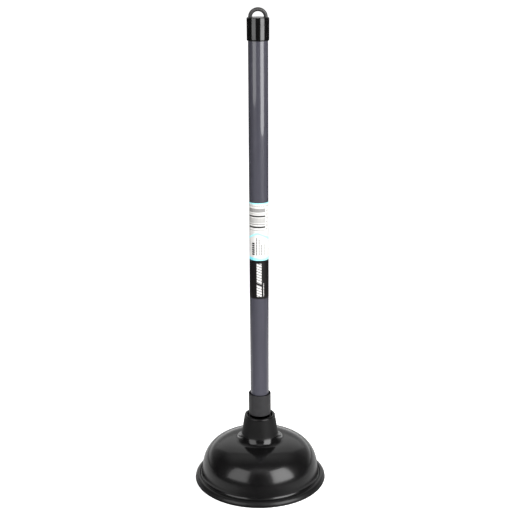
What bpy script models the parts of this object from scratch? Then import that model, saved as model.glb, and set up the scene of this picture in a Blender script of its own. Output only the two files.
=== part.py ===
"""Sink plunger: a black rubber cup on a long, plastic-coated steel tube handle.

The model stands on the flat underside of its cup. The origin is on the axis
of the handle at that face, +Z runs up the handle, and lengths are in metres.
The pieces, from the floor up:

    rubber_cup        one moulding: flange, bell, neck and a blind threaded socket
    threaded_adapter  collar over the end of the tube, with a stud for the socket
    steel_tube        thin rolled core of the handle
    tube_sleeve       grey plastic skin over the steel
    label_wrap        printed film round the sleeve
    hanger_cap        end cap with a half-ring to hang the plunger by
"""

import math

import bmesh
import bpy

# --- Making ---------------------------------------------------------------
SEGMENTS = 48            # sides of every round piece
GAP = 0.0003             # room between two pieces that touch on the real plunger
WELD = 1e-6              # vertices closer than this are one
SHARP_DEGREES = 35       # edges that turn more than this are shaded as edges
BELL_STEPS = 400         # fineness of the bell's outline before it is spaced out
FLARE_ROWS = 7           # rows of vertices on the flared foot of the bell
OUTSIDE_ROWS = 27        # rows of vertices from the flare up to the lip
INSIDE_ROWS = 15         # rows of vertices on the bell's inner wall
FILLET_STEPS = 16        # fineness of the neck's fillet before it is spaced out
ROUND_STEPS = 6          # steps of the lip
EDGE_STEPS = 3           # steps of the rim's underside edge
SWELL_STEPS = 8          # steps of the flange's rounded upper side
MOUTH_STEPS = 2
CAP_EDGE_STEPS = 3
BISECTIONS = 40          # halvings that settle where the neck's fillet lies

# --- Rubber cup -----------------------------------------------------------
DOME_RADIUS = 0.0704     # outside of the bell at its foot
BELL_WALL = 0.0043       # rubber at the foot of the bell
FLANGE_WIDTH = 0.0087    # how far the flange reaches out past the bell
RIM_EDGE = 0.0016        # height of the flange's widest line, and the rounding below it
MOUTH_ROUNDING = 0.0010  # rounding between the bell's wall and the flat underside
FLARE_WIDTH = 0.0029     # how far the bell's foot swings out to the bead
FLARE_TOP = 0.0150
BEAD_HEIGHT = 0.0069     # thin raised edge that the flare ends in
GROOVE_WIDTH = 0.0010    # groove between the bead and the flange
GROOVE_DEPTH = 0.0007
FLANGE_TOP = 0.0072      # crest of the flange's rounded upper side
DOME_BASE = 0.0095
DOME_RISE = 0.0425       # height of the bell over its foot, without the neck
DOME_FULLNESS = 2.33     # how upright its wall is
DOME_FLATNESS = 3.85     # how flat its top is
CROWN_WALL = 0.0045      # rubber at the top of the bell
NECK_TOP = 0.0838
NECK_TOP_RADIUS = 0.0184
NECK_TAPER = 0.150       # growth in radius for each metre down the neck
FILLET_WIDTH = 0.0095    # fillet between neck and bell, a quarter of an ellipse
FILLET_HEIGHT = 0.0140
NECK_HOLE_CLEARANCE = 0.0018  # dark ring round the collar
NECK_HOLE_DEPTH = 0.0060
WEB_THICKNESS = 0.0055   # airtight rubber between the bell and the socket
SOCKET_FLOOR_ROOM = 0.0010

# --- Thread, shared by the adapter's stud and the rubber socket ------------
THREAD_ROOT_RADIUS = 0.0083
THREAD_DEPTH = 0.0012
THREAD_PITCH = 0.0050
THREAD_RUNOUT = 0.0015   # plain length at each end of the stud
THREAD_STEPS = 8         # rows of vertices in one pitch

# --- Threaded adapter -----------------------------------------------------
COLLAR_RADIUS = 0.01325
COLLAR_TOP = 0.1115
COLLAR_CHAMFER = 0.0004
COLLAR_LEAD_WIDTH = 0.0011  # lead-in at the mouth that takes the tube
COLLAR_LEAD_DEPTH = 0.0015
ADAPTER_FLOOR = 0.0040   # plastic between the end of the tube and the stud
STUD_TIP_CHAMFER = 0.0012

# --- Handle tube, sleeve and label ----------------------------------------
SLEEVE_RADIUS = 0.0110
SLEEVE_WALL = 0.0005
STEEL_WALL = 0.0006
TUBE_LENGTH = 0.4665
LABEL_GAP = 0.0001
LABEL_FILM = 0.0002
LABEL_LENGTH = 0.1140
LABEL_ABOVE_COLLAR = 0.1221

# --- Hanger cap -----------------------------------------------------------
CAP_RADIUS = 0.0124
CAP_DRAFT = 0.0001       # the skirt is this much narrower at its lower edge
CAP_LENGTH = 0.0249
CAP_END_WALL = 0.0031
CAP_ROUNDING = 0.0008
CAP_LIP_CHAMFER = 0.0003
LOOP_RADIUS = 0.00845    # middle of the half-ring
LOOP_THICKNESS = 0.0043
LOOP_ROOT = 0.0015       # how deep its feet are moulded into the end wall
LOOP_STEPS = 18
LOOP_SIDES = 14

# --- Places that follow from the sizes -------------------------------------
MOUTH_RADIUS = DOME_RADIUS - BELL_WALL
BEAD_RADIUS = DOME_RADIUS + FLARE_WIDTH
RIM_RADIUS = DOME_RADIUS + FLANGE_WIDTH
BELL_APEX = DOME_BASE + DOME_RISE - CROWN_WALL
SOCKET_FLOOR = BELL_APEX + WEB_THICKNESS
NECK_HOLE_RADIUS = COLLAR_RADIUS + NECK_HOLE_CLEARANCE
NECK_HOLE_FLOOR = NECK_TOP - NECK_HOLE_DEPTH
COLLAR_BOTTOM = NECK_HOLE_FLOOR + GAP
STUD_BOTTOM = SOCKET_FLOOR + SOCKET_FLOOR_ROOM
THREAD_BOTTOM = STUD_BOTTOM + THREAD_RUNOUT
THREAD_TOP = NECK_HOLE_FLOOR - THREAD_RUNOUT
ADAPTER_SEAT = COLLAR_BOTTOM + ADAPTER_FLOOR
TUBE_BOTTOM = ADAPTER_SEAT + GAP
TUBE_TOP = TUBE_BOTTOM + TUBE_LENGTH
TUBE_SOCKET_RADIUS = SLEEVE_RADIUS + GAP
STEEL_RADIUS = SLEEVE_RADIUS - SLEEVE_WALL - GAP
LABEL_BOTTOM = COLLAR_TOP + LABEL_ABOVE_COLLAR
LABEL_RADIUS = SLEEVE_RADIUS + LABEL_GAP
CAP_SEAT = TUBE_TOP + GAP
CAP_TOP = CAP_SEAT + CAP_END_WALL
CAP_BOTTOM = CAP_TOP - CAP_LENGTH


def clear_scene():
    """Remove every object that is in the file."""
    for thing in list(bpy.data.objects):
        bpy.data.objects.remove(thing, do_unlink=True)


def plain_material(name, colour, roughness, metallic=0.0):
    """A Principled material of one colour."""
    material = bpy.data.materials.new(name)
    material.use_nodes = True
    shader = material.node_tree.nodes["Principled BSDF"]
    shader.inputs["Base Color"].default_value = (*colour, 1.0)
    shader.inputs["Roughness"].default_value = roughness
    shader.inputs["Metallic"].default_value = metallic
    return material


def arc(centre, radius, start, end, steps):
    """Points on an arc about centre (radius, height), from start to end degrees."""
    angles = [math.radians(start + (end - start) * step / steps) for step in range(steps + 1)]
    return [
        (centre[0] + radius * math.cos(angle), centre[1] + radius * math.sin(angle))
        for angle in angles
    ]


def evenly_spaced(outline, count):
    """Points at equal distances along an outline, both of its ends included."""
    reach = [0.0]
    for (r0, z0), (r1, z1) in zip(outline, outline[1:]):
        reach.append(reach[-1] + math.hypot(r1 - r0, z1 - z0))
    points = []
    leg = 0
    for step in range(count):
        target = reach[-1] * step / (count - 1)
        while leg < len(outline) - 2 and reach[leg + 1] < target:
            leg += 1
        share = (target - reach[leg]) / (reach[leg + 1] - reach[leg])
        (r0, z0), (r1, z1) = outline[leg], outline[leg + 1]
        points.append((r0 + (r1 - r0) * share, z0 + (z1 - z0) * share))
    return points


def thread_rows():
    """Heights of the rows of vertices in the threaded length, bottom to top."""
    rows = max(THREAD_STEPS, round((THREAD_TOP - THREAD_BOTTOM) / THREAD_PITCH * THREAD_STEPS))
    return [THREAD_BOTTOM + (THREAD_TOP - THREAD_BOTTOM) * row / rows for row in range(rows + 1)]


def thread_swell(angle, height):
    """How far the rounded thread stands over its root at one angle and height."""
    from_end = min(height - THREAD_BOTTOM, THREAD_TOP - height)
    if from_end <= 0.0:
        return 0.0
    fade = min(1.0, from_end / (THREAD_PITCH / 2))
    phase = height / THREAD_PITCH - angle / math.tau
    return THREAD_DEPTH * fade * (0.5 - 0.5 * math.cos(math.tau * phase))


def add_piece(name, bm, material, carrier):
    """Put a finished bmesh in the scene as one smooth-shaded piece."""
    mesh = bpy.data.meshes.new(name)
    bm.to_mesh(mesh)
    bm.free()
    mesh.shade_smooth()
    mesh.set_sharp_from_angle(angle=math.radians(SHARP_DEGREES))
    mesh.materials.append(material)
    piece = bpy.data.objects.new(name, mesh)
    bpy.context.scene.collection.objects.link(piece)
    piece.parent = carrier
    return piece


def turned(outline, closed=False):
    """Spin an outline of (radius, height) points once round Z.

    An outline that isn't closed starts and ends on the axis.
    """
    bm = bmesh.new()
    verts = [bm.verts.new((radius, 0.0, height)) for radius, height in outline]
    pairs = list(zip(verts, verts[1:]))
    if closed:
        pairs.append((verts[-1], verts[0]))
    edges = [bm.edges.new(pair) for pair in pairs]
    bmesh.ops.spin(
        bm,
        geom=verts + edges,
        cent=(0.0, 0.0, 0.0),
        axis=(0.0, 0.0, 1.0),
        angle=math.tau,
        steps=SEGMENTS,
        use_merge=True,
    )
    bmesh.ops.remove_doubles(bm, verts=bm.verts, dist=WELD)
    bmesh.ops.recalc_face_normals(bm, faces=bm.faces)
    return bm


def cut_thread(bm, root_radius):
    """Move the vertices that lie on the threaded wall out to the thread's form."""
    for vert in bm.verts:
        radius = math.hypot(vert.co.x, vert.co.y)
        if abs(radius - root_radius) < WELD and THREAD_BOTTOM < vert.co.z < THREAD_TOP:
            swell = thread_swell(math.atan2(vert.co.y, vert.co.x), vert.co.z)
            vert.co.x *= (radius + swell) / radius
            vert.co.y *= (radius + swell) / radius


def lip_radius():
    """Radius of the rounded lip, which runs from the neck's outside to its hole."""
    return (NECK_TOP_RADIUS - NECK_HOLE_RADIUS) / 2


def neck_radius(height):
    """Outside of the tapered neck at a height."""
    return NECK_TOP_RADIUS + NECK_TAPER * (NECK_TOP - lip_radius() - height)


def bell_outline(foot_radius, rise):
    """A bell's outline from its foot up to its crown on the axis.

    It is the superellipse (r / foot_radius)^DOME_FLATNESS + (z / rise)^DOME_FULLNESS = 1.
    """
    angles = [math.pi / 2 * step / BELL_STEPS for step in range(BELL_STEPS + 1)]
    return [
        (
            foot_radius * max(math.cos(angle), 0.0) ** (2.0 / DOME_FLATNESS),
            DOME_BASE + rise * math.sin(angle) ** (2.0 / DOME_FULLNESS),
        )
        for angle in angles
    ]


def flared_foot(outline):
    """An outline of the bell drawn down to the bead, its foot swung out in a cove."""
    drop = FLARE_TOP - BEAD_HEIGHT
    angles = [math.pi / 2 * step / BELL_STEPS for step in range(BELL_STEPS)]
    heights = [FLARE_TOP - drop * math.cos(angle) for angle in angles]
    foot = [(DOME_RADIUS, height) for height in heights if height < DOME_BASE]
    foot += [point for point in outline if point[1] < FLARE_TOP]
    sweeps = [min((FLARE_TOP - height) / drop, 1.0) for _, height in foot]
    return [
        (radius + FLARE_WIDTH * (1.0 - math.sqrt(1.0 - sweep * sweep)), height)
        for (radius, height), sweep in zip(foot, sweeps)
    ]


def cup_outside():
    """The cup's outer outline, from the bead at its foot up to the neck's lip.

    The fillet is the arc of a ball that rolls down the neck until it meets the
    bell. All heights are squeezed while it rolls, which makes the arc an ellipse.
    """
    squeeze = FILLET_WIDTH / FILLET_HEIGHT
    bell = [(radius, height * squeeze) for radius, height in bell_outline(DOME_RADIUS, DOME_RISE)]
    lean = math.atan(NECK_TAPER / squeeze)

    def ball_centre(height):
        return neck_radius(height) + FILLET_WIDTH / math.cos(lean), height * squeeze

    low, high = DOME_BASE, NECK_TOP
    for _ in range(BISECTIONS):
        middle = (low + high) / 2
        if min(math.dist(ball_centre(middle), point) for point in bell) < FILLET_WIDTH:
            low = middle
        else:
            high = middle
    centre = ball_centre(high)
    touch = min(bell, key=lambda point: math.dist(centre, point))
    start = math.degrees(math.atan2(touch[1] - centre[1], touch[0] - centre[0])) % 360
    outline = [point for point in bell if point[0] > touch[0]]
    outline += arc(centre, FILLET_WIDTH, start, 180 + math.degrees(lean), FILLET_STEPS)
    outline = [(radius, height / squeeze) for radius, height in outline]
    outline.append((NECK_TOP_RADIUS, NECK_TOP - lip_radius()))
    upper = [point for point in outline if point[1] >= FLARE_TOP]
    foot = evenly_spaced(flared_foot(outline) + upper[:1], FLARE_ROWS)
    return foot[:-1] + evenly_spaced(upper, OUTSIDE_ROWS)


def cup_inside():
    """The bell's inner outline, from its apex on the axis down to the mouth."""
    inside = bell_outline(MOUTH_RADIUS, DOME_RISE - CROWN_WALL)
    return evenly_spaced(inside[::-1], INSIDE_ROWS)


def flange_swell():
    """The flange's upper side, a quarter of an ellipse from its widest line to its crest."""
    crest = BEAD_RADIUS + GROOVE_WIDTH
    width, height = RIM_RADIUS - crest, FLANGE_TOP - RIM_EDGE
    angles = [math.pi / 2 * step / SWELL_STEPS for step in range(1, SWELL_STEPS + 1)]
    return [
        (crest + width * math.cos(angle), RIM_EDGE + height * math.sin(angle))
        for angle in angles
    ]


def rubber_cup(material):
    """Flange, bell, neck and blind threaded socket, moulded in one piece."""
    lip = lip_radius()
    socket_radius = THREAD_ROOT_RADIUS + GAP
    outline = cup_inside()
    mouth_centre = (MOUTH_RADIUS + MOUTH_ROUNDING, MOUTH_ROUNDING)
    outline += arc(mouth_centre, MOUTH_ROUNDING, 180, 270, MOUTH_STEPS)
    outline += arc((RIM_RADIUS - RIM_EDGE, RIM_EDGE), RIM_EDGE, -90, 0, EDGE_STEPS)
    outline += flange_swell()
    outline.append((BEAD_RADIUS + GROOVE_WIDTH / 2, BEAD_HEIGHT - GROOVE_DEPTH))
    outline += cup_outside()
    outline += arc((NECK_HOLE_RADIUS + lip, NECK_TOP - lip), lip, 0, 180, ROUND_STEPS)[1:]
    outline += [(NECK_HOLE_RADIUS, NECK_HOLE_FLOOR), (socket_radius, NECK_HOLE_FLOOR)]
    outline += [(socket_radius, height) for height in reversed(thread_rows())]
    outline += [(socket_radius, SOCKET_FLOOR), (0.0, SOCKET_FLOOR)]
    bm = turned(outline)
    cut_thread(bm, socket_radius)
    return add_piece("rubber_cup", bm, material, None)


def threaded_adapter(material, carrier):
    """Collar that holds the end of the tube, and the stud below it."""
    outer = COLLAR_RADIUS - COLLAR_CHAMFER
    outline = [(0.0, STUD_BOTTOM), (THREAD_ROOT_RADIUS - STUD_TIP_CHAMFER, STUD_BOTTOM)]
    outline += [(THREAD_ROOT_RADIUS, height) for height in thread_rows()]
    outline += [
        (THREAD_ROOT_RADIUS, COLLAR_BOTTOM),
        (outer, COLLAR_BOTTOM),
        (COLLAR_RADIUS, COLLAR_BOTTOM + COLLAR_CHAMFER),
        (COLLAR_RADIUS, COLLAR_TOP - COLLAR_CHAMFER),
        (outer, COLLAR_TOP),
        (TUBE_SOCKET_RADIUS + COLLAR_LEAD_WIDTH, COLLAR_TOP),
        (TUBE_SOCKET_RADIUS, COLLAR_TOP - COLLAR_LEAD_DEPTH),
        (TUBE_SOCKET_RADIUS, ADAPTER_SEAT),
        (0.0, ADAPTER_SEAT),
    ]
    bm = turned(outline)
    cut_thread(bm, THREAD_ROOT_RADIUS)
    return add_piece("threaded_adapter", bm, material, carrier)


def pipe(name, radius, wall, bottom, top, material, carrier):
    """A plain pipe with flat ends."""
    outline = [(radius - wall, bottom), (radius, bottom), (radius, top), (radius - wall, top)]
    return add_piece(name, turned(outline, closed=True), material, carrier)


def hanging_loop(carrier):
    """The half-ring on the cap, as a guide solid whose feet reach into the end wall."""
    bm = bmesh.new()
    section = bmesh.ops.create_circle(bm, segments=LOOP_SIDES, radius=LOOP_THICKNESS / 2)["verts"]
    bmesh.ops.translate(bm, verts=section, vec=(LOOP_RADIUS, 0.0, CAP_TOP - LOOP_ROOT))
    foot = [edge for edge in bm.edges]
    cap = bmesh.ops.edgeloop_fill(bm, edges=foot)["faces"]
    risen = bmesh.ops.extrude_face_region(bm, geom=cap)["geom"]
    top = [item for item in risen if isinstance(item, bmesh.types.BMVert)]
    bmesh.ops.translate(bm, verts=top, vec=(0.0, 0.0, LOOP_ROOT))
    face = next(item for item in risen if isinstance(item, bmesh.types.BMFace))
    spun = bmesh.ops.spin(
        bm,
        geom=[face],
        cent=(0.0, 0.0, CAP_TOP),
        axis=(0.0, -1.0, 0.0),
        angle=math.pi,
        steps=LOOP_STEPS,
    )["geom_last"]
    last = next(item for item in spun if isinstance(item, bmesh.types.BMFace))
    lowered = bmesh.ops.extrude_face_region(bm, geom=[last])["geom"]
    foot_verts = [item for item in lowered if isinstance(item, bmesh.types.BMVert)]
    bmesh.ops.translate(bm, verts=foot_verts, vec=(0.0, 0.0, -LOOP_ROOT))
    inner = [face for face in bm.faces if all(len(edge.link_faces) > 2 for edge in face.edges)]
    bmesh.ops.delete(bm, geom=inner, context="FACES_ONLY")
    bmesh.ops.recalc_face_normals(bm, faces=bm.faces)
    mesh = bpy.data.meshes.new("hanging_loop_guide")
    bm.to_mesh(mesh)
    bm.free()
    guide = bpy.data.objects.new("hanging_loop_guide", mesh)
    bpy.context.scene.collection.objects.link(guide)
    guide.parent = carrier
    guide.hide_render = True
    guide.display_type = "WIRE"
    return guide


def hanger_cap(material, carrier):
    """Skirt over the end of the handle, closed by a flat wall that carries the loop."""
    foot_radius = CAP_RADIUS - CAP_DRAFT
    outline = [
        (0.0, CAP_SEAT),
        (TUBE_SOCKET_RADIUS, CAP_SEAT),
        (TUBE_SOCKET_RADIUS, CAP_BOTTOM),
        (foot_radius - CAP_LIP_CHAMFER, CAP_BOTTOM),
        (foot_radius, CAP_BOTTOM + CAP_LIP_CHAMFER),
    ]
    edge_centre = (CAP_RADIUS - CAP_ROUNDING, CAP_TOP - CAP_ROUNDING)
    outline += arc(edge_centre, CAP_ROUNDING, 0, 90, CAP_EDGE_STEPS)
    outline += [(0.0, CAP_TOP)]
    piece = add_piece("hanger_cap", turned(outline), material, carrier)
    union = piece.modifiers.new("Moulded loop", "BOOLEAN")
    union.operation = "UNION"
    union.solver = "EXACT"
    union.object = hanging_loop(carrier)
    return piece


def main():
    """Build the plunger."""
    clear_scene()
    carrier = bpy.data.objects.new("handle_axis", None)
    bpy.context.scene.collection.objects.link(carrier)
    rubber_cup(plain_material("black_rubber", (0.018, 0.018, 0.019), 0.35))
    threaded_adapter(plain_material("dark_matte_plastic", (0.060, 0.060, 0.063), 0.60), carrier)
    steel = plain_material("rolled_steel", (0.56, 0.57, 0.58), 0.35, metallic=1.0)
    pipe("steel_tube", STEEL_RADIUS, STEEL_WALL, TUBE_BOTTOM, TUBE_TOP, steel, carrier)
    grey = plain_material("grey_plastic_skin", (0.150, 0.148, 0.165), 0.25)
    pipe("tube_sleeve", SLEEVE_RADIUS, SLEEVE_WALL, TUBE_BOTTOM, TUBE_TOP, grey, carrier)
    film = plain_material("printed_film", (0.85, 0.88, 0.88), 0.30)
    label_top = LABEL_BOTTOM + LABEL_LENGTH
    pipe("label_wrap", LABEL_RADIUS + LABEL_FILM, LABEL_FILM, LABEL_BOTTOM, label_top, film, carrier)
    hanger_cap(plain_material("glossy_black_plastic", (0.015, 0.015, 0.016), 0.20), carrier)


main()
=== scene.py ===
"""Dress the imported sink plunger: a black rubber cup on a coated tube handle.

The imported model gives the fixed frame. It stands on the flat underside of its
cup, with the handle's axis on +Z and the viewer of the photograph on -Y.
Lengths are in metres unless a name says otherwise. Every visible piece is a
surface worked out on a grid: a profile carried round the axis or along a path.
"""

import logging
import math
from collections.abc import Callable, Mapping, Sequence
from dataclasses import dataclass, field
from enum import Enum

import bpy
import numpy as np
from mathutils import Matrix, Vector


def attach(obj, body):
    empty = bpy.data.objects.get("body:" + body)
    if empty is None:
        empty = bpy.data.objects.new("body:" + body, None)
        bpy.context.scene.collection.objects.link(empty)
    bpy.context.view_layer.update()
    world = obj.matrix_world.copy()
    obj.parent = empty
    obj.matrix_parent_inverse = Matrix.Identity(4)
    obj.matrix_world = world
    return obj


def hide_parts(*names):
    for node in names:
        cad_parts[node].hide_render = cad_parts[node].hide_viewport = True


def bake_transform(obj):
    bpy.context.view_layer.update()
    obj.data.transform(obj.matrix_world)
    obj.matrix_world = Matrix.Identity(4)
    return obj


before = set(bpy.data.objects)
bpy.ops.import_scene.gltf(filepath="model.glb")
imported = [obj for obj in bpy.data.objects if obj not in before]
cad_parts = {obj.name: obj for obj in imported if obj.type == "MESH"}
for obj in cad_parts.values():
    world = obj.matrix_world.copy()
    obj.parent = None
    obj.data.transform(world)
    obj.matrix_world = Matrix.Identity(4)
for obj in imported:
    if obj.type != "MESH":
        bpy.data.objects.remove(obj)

LOG = logging.getLogger("plunger")
MM = 0.001
ROUND_SEGMENTS = 224
HANDLE_SEGMENTS = 160
SHARP_DEGREES = 40.0
SAME_POINT = 1e-9
ON_WALL = 1e-6


# --- Shader maths ---

Object = bpy.types.Object
Socket = bpy.types.NodeSocket
Node = bpy.types.Node
Inputs = Mapping[str | int, object]
Colour = tuple[float, float, float]
Ramp = tuple[float, float, float, float]  # a low and a high end, and what each becomes


class Maths(Enum):
    """The operations of a Math node that the finishes use."""

    ADD = "ADD"
    SUBTRACT = "SUBTRACT"
    MULTIPLY = "MULTIPLY"
    DIVIDE = "DIVIDE"
    POWER = "POWER"
    MODULO = "FLOORED_MODULO"
    ABSOLUTE = "ABSOLUTE"
    SINE = "SINE"
    ARCTANGENT = "ARCTAN2"
    MAXIMUM = "MAXIMUM"


def worked(operation: Maths, swapped: bool = False) -> Callable[["Value", "Number"], "Value"]:
    """A Python operator for a Math node's operation; swapped puts the other number first."""

    def apply(this: "Value", other: "Number") -> "Value":
        """The operation on this number and another."""
        return this.net.maths(operation, *((other, this) if swapped else (this, other)))

    return apply


@dataclass(frozen=True)
class Value:
    """A number carried by a shader socket, with Python's own operators."""

    net: "Net"
    socket: Socket

    __add__ = __radd__ = worked(Maths.ADD)
    __sub__ = worked(Maths.SUBTRACT)
    __rsub__ = worked(Maths.SUBTRACT, swapped=True)
    __mul__ = __rmul__ = worked(Maths.MULTIPLY)
    __truediv__ = worked(Maths.DIVIDE)
    __pow__ = worked(Maths.POWER)
    __mod__ = worked(Maths.MODULO)

    def __abs__(self) -> "Value":
        """This number without its sign."""
        return self.net.maths(Maths.ABSOLUTE, self)


Number = Value | float


class Net:
    """A node tree under construction."""

    def __init__(self, owner: bpy.types.Material | bpy.types.World) -> None:
        """Start from the emptied node tree of a material or a world."""
        owner.use_nodes = True
        self.tree = owner.node_tree
        self.tree.nodes.clear()

    def node(self, kind: str, inputs: Inputs | None = None, **settings: object) -> Node:
        """Add one node.

        Args:
            kind: The name of its type, less the word ShaderNode.
            inputs: What goes into its sockets: plain values, sockets or Values.
            settings: Its own properties, set first.

        Returns:
            The new node.
        """
        made = self.tree.nodes.new("ShaderNode" + kind)
        for name, value in settings.items():
            setattr(made, name, value)
        for key, value in (inputs or {}).items():
            source = value.socket if isinstance(value, Value) else value
            if isinstance(source, Socket):
                self.tree.links.new(source, made.inputs[key])
            else:
                made.inputs[key].default_value = source
        return made

    def show(self, shader: Node, kind: str = "OutputMaterial") -> None:
        """Send a shader to the tree's output, a node of the given type."""
        self.tree.links.new(shader.outputs[0], self.node(kind).inputs["Surface"])

    def value(self, node: Node, output: str | int = 0) -> Value:
        """One number that a node gives."""
        return Value(self, node.outputs[output])

    def maths(self, operation: Maths, *terms: Number) -> Value:
        """The result of one operation on one or two numbers."""
        return self.value(self.node("Math", dict(enumerate(terms)), operation=operation.value))

    def most(self, first: Number, second: Number) -> Value:
        """The larger of two numbers."""
        return self.maths(Maths.MAXIMUM, first, second)

    def radius(self, x: Value, y: Value) -> Value:
        """How far a place lies from the Z axis."""
        return (x * x + y * y) ** 0.5

    def spread(self, value: Value, ramp: Ramp) -> Value:
        """Carry a number from one range to another with a smooth step, held at both ends."""
        inputs = dict(enumerate((value, *ramp)))
        return self.value(self.node("MapRange", inputs, interpolation_type="SMOOTHSTEP"))

    def step(self, value: Number, edge: float, soft: float) -> Value:
        """Rise from 0 to 1 round an edge over a soft width."""
        return self.spread(value, (edge - soft / 2, edge + soft / 2, 0.0, 1.0))

    def band(self, value: Number, low: float, high: float, soft: float) -> Value:
        """1 between low and high and 0 outside, with soft edges."""
        return self.step(value, low, soft) * (1.0 - self.step(value, high, soft))

    def mix(self, share: Number, first: object, second: object) -> Socket:
        """Mix two colours.

        Args:
            share: 0 gives the first and 1 the second.
            first, second: Colours (red, green, blue) or sockets.

        Returns:
            The socket of the mixed colour.
        """
        pair = [(*c, 1.0) if isinstance(c, tuple) else c for c in (first, second)]
        inputs = {0: share, 6: pair[0], 7: pair[1]}
        return self.node("Mix", inputs, data_type="RGBA").outputs[2]

    def place(self, along: float = 1.0) -> Socket:
        """Object coordinates, stretched along the axis where along is below 1."""
        inputs = {"Vector": self.node("TexCoord").outputs["Object"], "Scale": (1.0, 1.0, along)}
        return self.node("Mapping", inputs).outputs["Vector"]

    def noise(self, place: Socket, size: float, detail: float) -> Value:
        """Cloudy noise from 0 to 1: patches of a size in metres, with finer layers."""
        inputs = {"Vector": place, "Scale": 1.0 / size, "Detail": detail}
        return self.value(self.node("TexNoise", inputs))

    def parts(self, place: Socket) -> tuple[Value, ...]:
        """The three numbers of a vector."""
        made = self.node("SeparateXYZ", {0: place})
        return tuple(self.value(made, axis) for axis in range(3))

    def bump(
        self, height: Value, depth: float, strength: float, under: Socket | None = None
    ) -> Socket:
        """Bend the normal by a height.

        Args:
            height: The height, from 0 to 1.
            depth: What 1 stands for, in metres.
            strength: How much of the bend shows.
            under: The normal of a bump under this one.

        Returns:
            The bent normal.
        """
        inputs = {"Height": height, "Distance": depth, "Strength": strength}
        if under is not None:
            inputs["Normal"] = under
        return self.node("Bump", inputs).outputs["Normal"]

    def rays(self) -> tuple[Value, Value]:
        """Two masks: what the camera sees straight on, and what shows in gloss or glass."""
        path = self.node("LightPath")
        camera, glossy, glass = (
            self.value(path, f"Is {kind} Ray") for kind in ("Camera", "Glossy", "Transmission")
        )
        return camera, self.most(glossy, glass)


# --- Finishes ---


@dataclass(frozen=True)
class Finish:
    """What a surface is made of; each kind below dresses its own shader."""

    name: str
    slot: str
    colour: Colour

    def tone(self, factor: float) -> Colour:
        """The finish's own colour, lighter or darker."""
        return tuple(factor * part for part in self.colour)

    def material(self) -> bpy.types.Material:
        """Build the material.

        Returns:
            A material whose Principled shader has this finish.
        """
        made = bpy.data.materials.new(self.name)
        made.diffuse_color = (*self.colour, 1.0)
        net = Net(made)
        net.show(net.node("BsdfPrincipled", self.dress(net)))
        return made

    def dress(self, net: Net) -> Inputs:
        """The Principled shader's sockets and what goes into each."""
        raise NotImplementedError


@dataclass(frozen=True)
class MouldedRubber(Finish):
    """Black rubber: a bell with a soft sheen, a satin neck and a duller inside.

    It reads the piece's own attributes: rest (the place at rest) and satin
    (0 on the glossy bell, 1 on the neck).
    """

    bell_roughness: float = 0.24
    satin_roughness: float = 0.58
    fillet_polish: Ramp = (0.046, 0.050, 0.0, 0.10)
    clouds: Ramp = (0.3, 0.75, 0.0, 1.0)
    specks: Ramp = (0.66, 0.80, 0.0, 0.10)
    dust: Colour = (0.05, 0.048, 0.045)

    def dress(self, net: Net) -> Inputs:
        """Cloudy gloss under a thin sheen, dust, a grain on the satin parts and slow waves."""
        rest = net.node("Attribute", attribute_name="rest").outputs["Vector"]
        satin = net.value(net.node("Attribute", attribute_name="satin"), "Fac")
        cloud = net.noise(rest, 26 * MM, 3.0)
        smear = net.noise(rest, 5 * MM, 4.0)
        grain = net.noise(rest, 0.45 * MM, 2.0)
        wave = net.noise(rest, 13 * MM, 1.0)
        speck = net.noise(rest, 2.2 * MM, 5.0)
        colour = net.mix(net.spread(cloud, self.clouds), self.colour, self.tone(1.7))
        polish = net.spread(net.parts(rest)[2], self.fillet_polish)
        bell = self.bell_roughness - polish + (cloud - 0.5) * 0.10 + (smear - 0.5) * 0.08
        dull = self.satin_roughness + (smear - 0.5) * 0.1
        grained = net.bump(grain * (0.25 + satin * 0.75), 0.05 * MM, 0.6)
        return {
            "Base Color": net.mix(net.spread(speck, self.specks), colour, self.dust),
            "Roughness": bell * (1.0 - satin) + dull * satin,
            "Specular IOR Level": 0.28,
            "Coat Weight": (1.0 - satin) * 0.30,
            "Coat Roughness": 0.13,
            "Normal": net.bump(wave, 0.10 * MM, 0.5, grained),
        }


@dataclass(frozen=True)
class SatinPlastic(Finish):
    """Dark plastic with the fine, dry texture of a spark-eroded mould."""

    roughness: float = 0.50
    rubbing: Ramp = (0.45, 0.75, 0.0, 1.0)
    # painted shade: under these radii the collar takes the shadow colour and loses its reflection
    painted_shade_radii: Ramp = (0.0120, 0.0128, 1.0, 0.0)
    shadow: Colour = (0.001, 0.001, 0.001)

    def dress(self, net: Net) -> Inputs:
        """An even grain, slight rubbed patches, and painted shade: black without a reflection of
        its own inside the undercut's radius, over the undercut and the mouth's lead-in.
        """
        place = net.place()
        grain = net.noise(place, 0.35 * MM, 3.0)
        rubbed = net.spread(net.noise(place, 6 * MM, 3.0), self.rubbing)
        colour = net.mix(rubbed * 0.5, self.colour, self.tone(1.35))
        x, y, _ = net.parts(place)
        # painted shade: black, with Metallic so that it reflects nothing, in the undercut and
        # down the mouth's lead-in
        painted_shade = net.spread(net.radius(x, y), self.painted_shade_radii)
        return {
            "Base Color": net.mix(painted_shade, colour, self.shadow),
            "Roughness": self.roughness + (grain - 0.5) * 0.12 - rubbed * 0.06 + painted_shade * 0.5,
            "Metallic": painted_shade,
            "Specular IOR Level": 0.45,
            "Normal": net.bump(grain, 0.06 * MM, 0.7),
        }


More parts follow.
